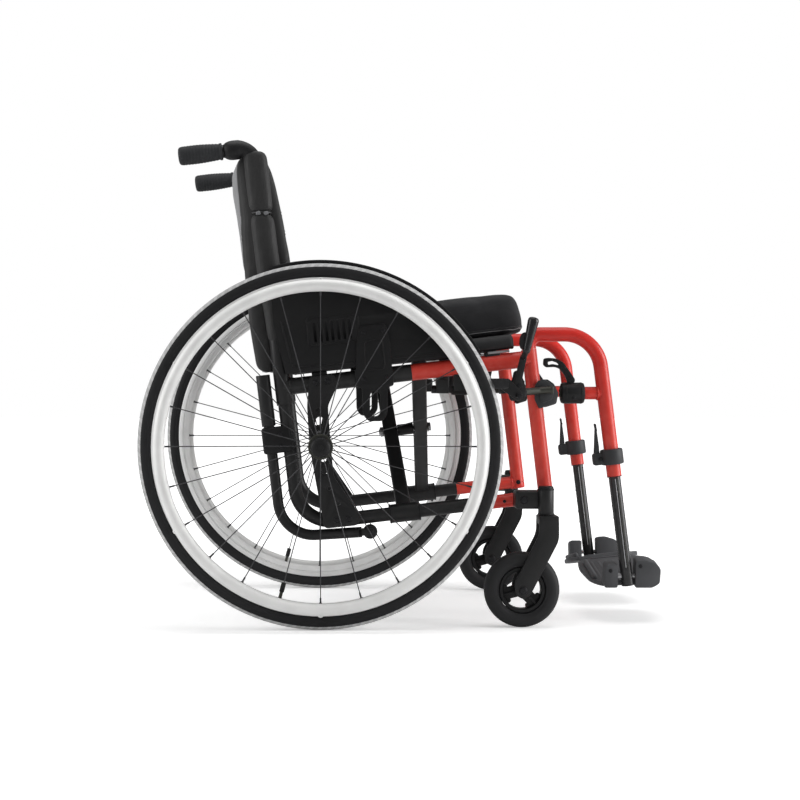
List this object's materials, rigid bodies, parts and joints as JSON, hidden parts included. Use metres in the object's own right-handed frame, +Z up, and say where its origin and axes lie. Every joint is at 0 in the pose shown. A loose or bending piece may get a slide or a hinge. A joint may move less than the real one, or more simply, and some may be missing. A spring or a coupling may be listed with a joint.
{
  "type": "wheelchair",
  "caption": "Folding self-propelled wheelchair with a cross-brace, spoked drive wheels, trailing casters and swing-away footrests.",
  "frame": {"origin": "on the floor, midway along the chair's length and width", "axes": "+X forward, +Y to the sitter's left, +Z up"},
  "size_m": [0.871, 0.617, 0.8129],
  "materials": {
    "aluminium": "brushed and clear-coated",
    "black_fabric": "dense black weave",
    "black_paint": "satin black paint",
    "black_plastic": "fine-grained black plastic",
    "grey_plastic": "moulded grey plastic",
    "grip_rubber": "soft matt rubber",
    "red_paint": "satin red paint",
    "steel": "satin steel",
    "tyre_rubber": "worn matt rubber"
  },
  "bodies": {
    "right_frame": {"frame_rear_right": "black_paint", "frame_front_right": "red_paint", "axle_plate_right": "black_paint", "axle_right": "black_plastic", "caster_housing_right": "black_paint", "brake_bracket_right": "black_paint", "back_tube_right": "black_paint", "push_grip_right": "grip_rubber", "guard_socket_right": "black_plastic", "anti_tip_clamp": "black_plastic", "back_upholstery": "black_fabric", "seat_sling": "black_fabric", "seat_cushion": "black_fabric"},
    "arm_a": {"cross_arm_a": "black_paint", "cross_pivot_bolt": "steel"},
    "arm_b": {"cross_arm_b": "black_paint"},
    "left_frame": {"frame_rear_left": "black_paint", "frame_front_left": "red_paint", "axle_plate_left": "black_paint", "axle_left": "black_plastic", "caster_housing_left": "black_paint", "brake_bracket_left": "black_paint", "back_tube_left": "black_paint", "push_grip_left": "grip_rubber", "guard_socket_left": "black_plastic"},
    "wheel_right": {"drive_tyre_right": "tyre_rubber", "drive_rim_right": "aluminium", "spoked_hub_right": "steel", "handrim_right": "aluminium"},
    "guard_right": {"side_guard_right": "black_plastic"},
    "caster_fork_right": {"caster_fork_right": "black_paint"},
    "caster_right": {"caster_tyre_right": "tyre_rubber", "caster_hub_right": "black_plastic"},
    "hanger_right": {"footrest_hanger_right": "red_paint", "latch_block_right": "black_plastic", "extension_clamp_right": "black_plastic"},
    "latch_right": {"latch_lever_right": "black_plastic"},
    "extension_right": {"extension_tube_right": "black_paint"},
    "footplate_right": {"footplate_right": "grey_plastic"},
    "brake_lever_right": {"brake_lever_right": "black_plastic"},
    "brake_shoe_right": {"brake_shoe_right": "black_paint"},
    "wheel_left": {"drive_tyre_left": "tyre_rubber", "drive_rim_left": "aluminium", "spoked_hub_left": "steel", "handrim_left": "aluminium"},
    "guard_left": {"side_guard_left": "black_plastic"},
    "caster_fork_left": {"caster_fork_left": "black_paint"},
    "caster_left": {"caster_tyre_left": "tyre_rubber", "caster_hub_left": "black_plastic"},
    "hanger_left": {"footrest_hanger_left": "red_paint", "latch_block_left": "black_plastic", "extension_clamp_left": "black_plastic"},
    "latch_left": {"latch_lever_left": "black_plastic"},
    "extension_left": {"extension_tube_left": "black_paint"},
    "footplate_left": {"footplate_left": "grey_plastic"},
    "brake_lever_left": {"brake_lever_left": "black_plastic"},
    "brake_shoe_left": {"brake_shoe_left": "black_paint"},
    "anti_tip": {"anti_tip_tube": "black_paint"},
    "anti_tip_roller": {"anti_tip_roller": "tyre_rubber"}
  },
  "joints": [
    {"name": "fold", "type": "hinge", "parent": "right_frame", "child": "arm_a", "pos_m": [0.00653, -0.185, 0.18617], "axis": [0.9934, 0, 0.1149], "range_deg": [0, 39], "deforming": ["back_upholstery", "seat_sling", "seat_cushion"]},
    {"name": "cross_pivot", "type": "hinge", "parent": "arm_a", "child": "arm_b", "pos_m": [0.04501, 0, 0.3234], "axis": [0.9934, 0, 0.1149], "range_deg": [-78, 0]},
    {"name": "left_rail_pivot", "type": "hinge", "parent": "arm_b", "child": "left_frame", "pos_m": [0.06017, 0.185, 0.19238], "axis": [0.9934, 0, 0.1149], "range_deg": [0, 39]},
    {"name": "wheel_roll_right", "type": "hinge", "parent": "right_frame", "child": "wheel_right", "pos_m": [-0.1355, -0.26, 0.3], "axis": [0, 1, 0], "continuous": true},
    {"name": "guard_lift_right", "type": "slide", "parent": "right_frame", "child": "guard_right", "axis": [-0.1149, 0, 0.9934], "range_m": [0, 0.06]},
    {"name": "caster_swivel_right", "type": "hinge", "parent": "right_frame", "child": "caster_fork_right", "pos_m": [0.238, -0.23, 0.186], "axis": [0, 0, 1], "continuous": true},
    {"name": "caster_roll_right", "type": "hinge", "parent": "caster_fork_right", "child": "caster_right", "pos_m": [0.1975, -0.23, 0.0625], "axis": [0, 1, 0], "continuous": true},
    {"name": "hanger_swing_right", "type": "hinge", "parent": "right_frame", "child": "hanger_right", "pos_m": [0.21589, -0.185, 0.46045], "axis": [0.1149, 0, -0.9934], "range_deg": [0, 68]},
    {"name": "latch_release_right", "type": "hinge", "parent": "hanger_right", "child": "latch_right", "pos_m": [0.285, -0.185, 0.404], "axis": [0, 1, 0], "range_deg": [0, 25], "stiffness_Nm_per_rad": 0.05, "springref_deg": -11.46},
    {"name": "footrest_length_right", "type": "slide", "parent": "hanger_right", "child": "extension_right", "axis": [-0.1226, 0, 0.9925], "range_m": [-0.025, 0.018]},
    {"name": "footplate_flip_right", "type": "hinge", "parent": "extension_right", "child": "footplate_right", "pos_m": [0.38052, -0.185, 0.079], "axis": [1, 0, 0], "range_deg": [0, 80.5]},
    {"name": "brake_lever_right", "type": "hinge", "parent": "right_frame", "child": "brake_lever_right", "pos_m": [0.1925, -0.2348, 0.4], "axis": [0, -1, 0], "range_deg": [0, 45]},
    {"name": "brake_shoe_right", "type": "hinge", "parent": "right_frame", "child": "brake_shoe_right", "pos_m": [0.1905, -0.2348, 0.383], "axis": [0, 1, 0], "range_deg": [0, 22]},
    {"name": "wheel_roll_left", "type": "hinge", "parent": "left_frame", "child": "wheel_left", "pos_m": [-0.1355, 0.26, 0.3], "axis": [0, 1, 0], "continuous": true},
    {"name": "guard_lift_left", "type": "slide", "parent": "left_frame", "child": "guard_left", "axis": [-0.1149, 0, 0.9934], "range_m": [0, 0.06]},
    {"name": "caster_swivel_left", "type": "hinge", "parent": "left_frame", "child": "caster_fork_left", "pos_m": [0.238, 0.23, 0.186], "axis": [0, 0, 1], "continuous": true},
    {"name": "caster_roll_left", "type": "hinge", "parent": "caster_fork_left", "child": "caster_left", "pos_m": [0.1975, 0.23, 0.0625], "axis": [0, 1, 0], "continuous": true},
    {"name": "hanger_swing_left", "type": "hinge", "parent": "left_frame", "child": "hanger_left", "pos_m": [0.21589, 0.185, 0.46045], "axis": [-0.1149, 0, 0.9934], "range_deg": [0, 68]},
    {"name": "latch_release_left", "type": "hinge", "parent": "hanger_left", "child": "latch_left", "pos_m": [0.285, 0.185, 0.404], "axis": [0, 1, 0], "range_deg": [0, 25], "stiffness_Nm_per_rad": 0.05, "springref_deg": -11.46},
    {"name": "footrest_length_left", "type": "slide", "parent": "hanger_left", "child": "extension_left", "axis": [-0.1226, 0, 0.9925], "range_m": [-0.025, 0.018]},
    {"name": "footplate_flip_left", "type": "hinge", "parent": "extension_left", "child": "footplate_left", "pos_m": [0.38052, 0.185, 0.079], "axis": [-1, 0, 0], "range_deg": [0, 80.5]},
    {"name": "brake_lever_left", "type": "hinge", "parent": "left_frame", "child": "brake_lever_left", "pos_m": [0.1925, 0.2348, 0.4], "axis": [0, -1, 0], "range_deg": [0, 45]},
    {"name": "brake_shoe_left", "type": "hinge", "parent": "left_frame", "child": "brake_shoe_left", "pos_m": [0.1905, 0.2348, 0.383], "axis": [0, 1, 0], "range_deg": [0, 22]},
    {"name": "anti_tip_swivel", "type": "hinge", "parent": "right_frame", "child": "anti_tip", "pos_m": [-0.23271, -0.185, 0.417], "axis": [-0.1201, 0, 0.9928], "range_deg": [0, 180]},
    {"name": "anti_tip_roll", "type": "hinge", "parent": "anti_tip", "child": "anti_tip_roller", "pos_m": [-0.0515, -0.185, 0.1538], "axis": [0, 1, 0], "continuous": true}
  ],
  "couplings": [
    {"joint": "cross_pivot", "follows": "fold", "ratio": -2},
    {"joint": "left_rail_pivot", "follows": "fold", "ratio": 1},
    {"joint": "brake_shoe_right", "follows": "brake_lever_right", "ratio": 0.45},
    {"joint": "footplate_flip_right", "follows": "fold", "ratio": 2.05},
    {"joint": "brake_shoe_left", "follows": "brake_lever_left", "ratio": 0.45},
    {"joint": "footplate_flip_left", "follows": "fold", "ratio": 2.05}
  ]
}
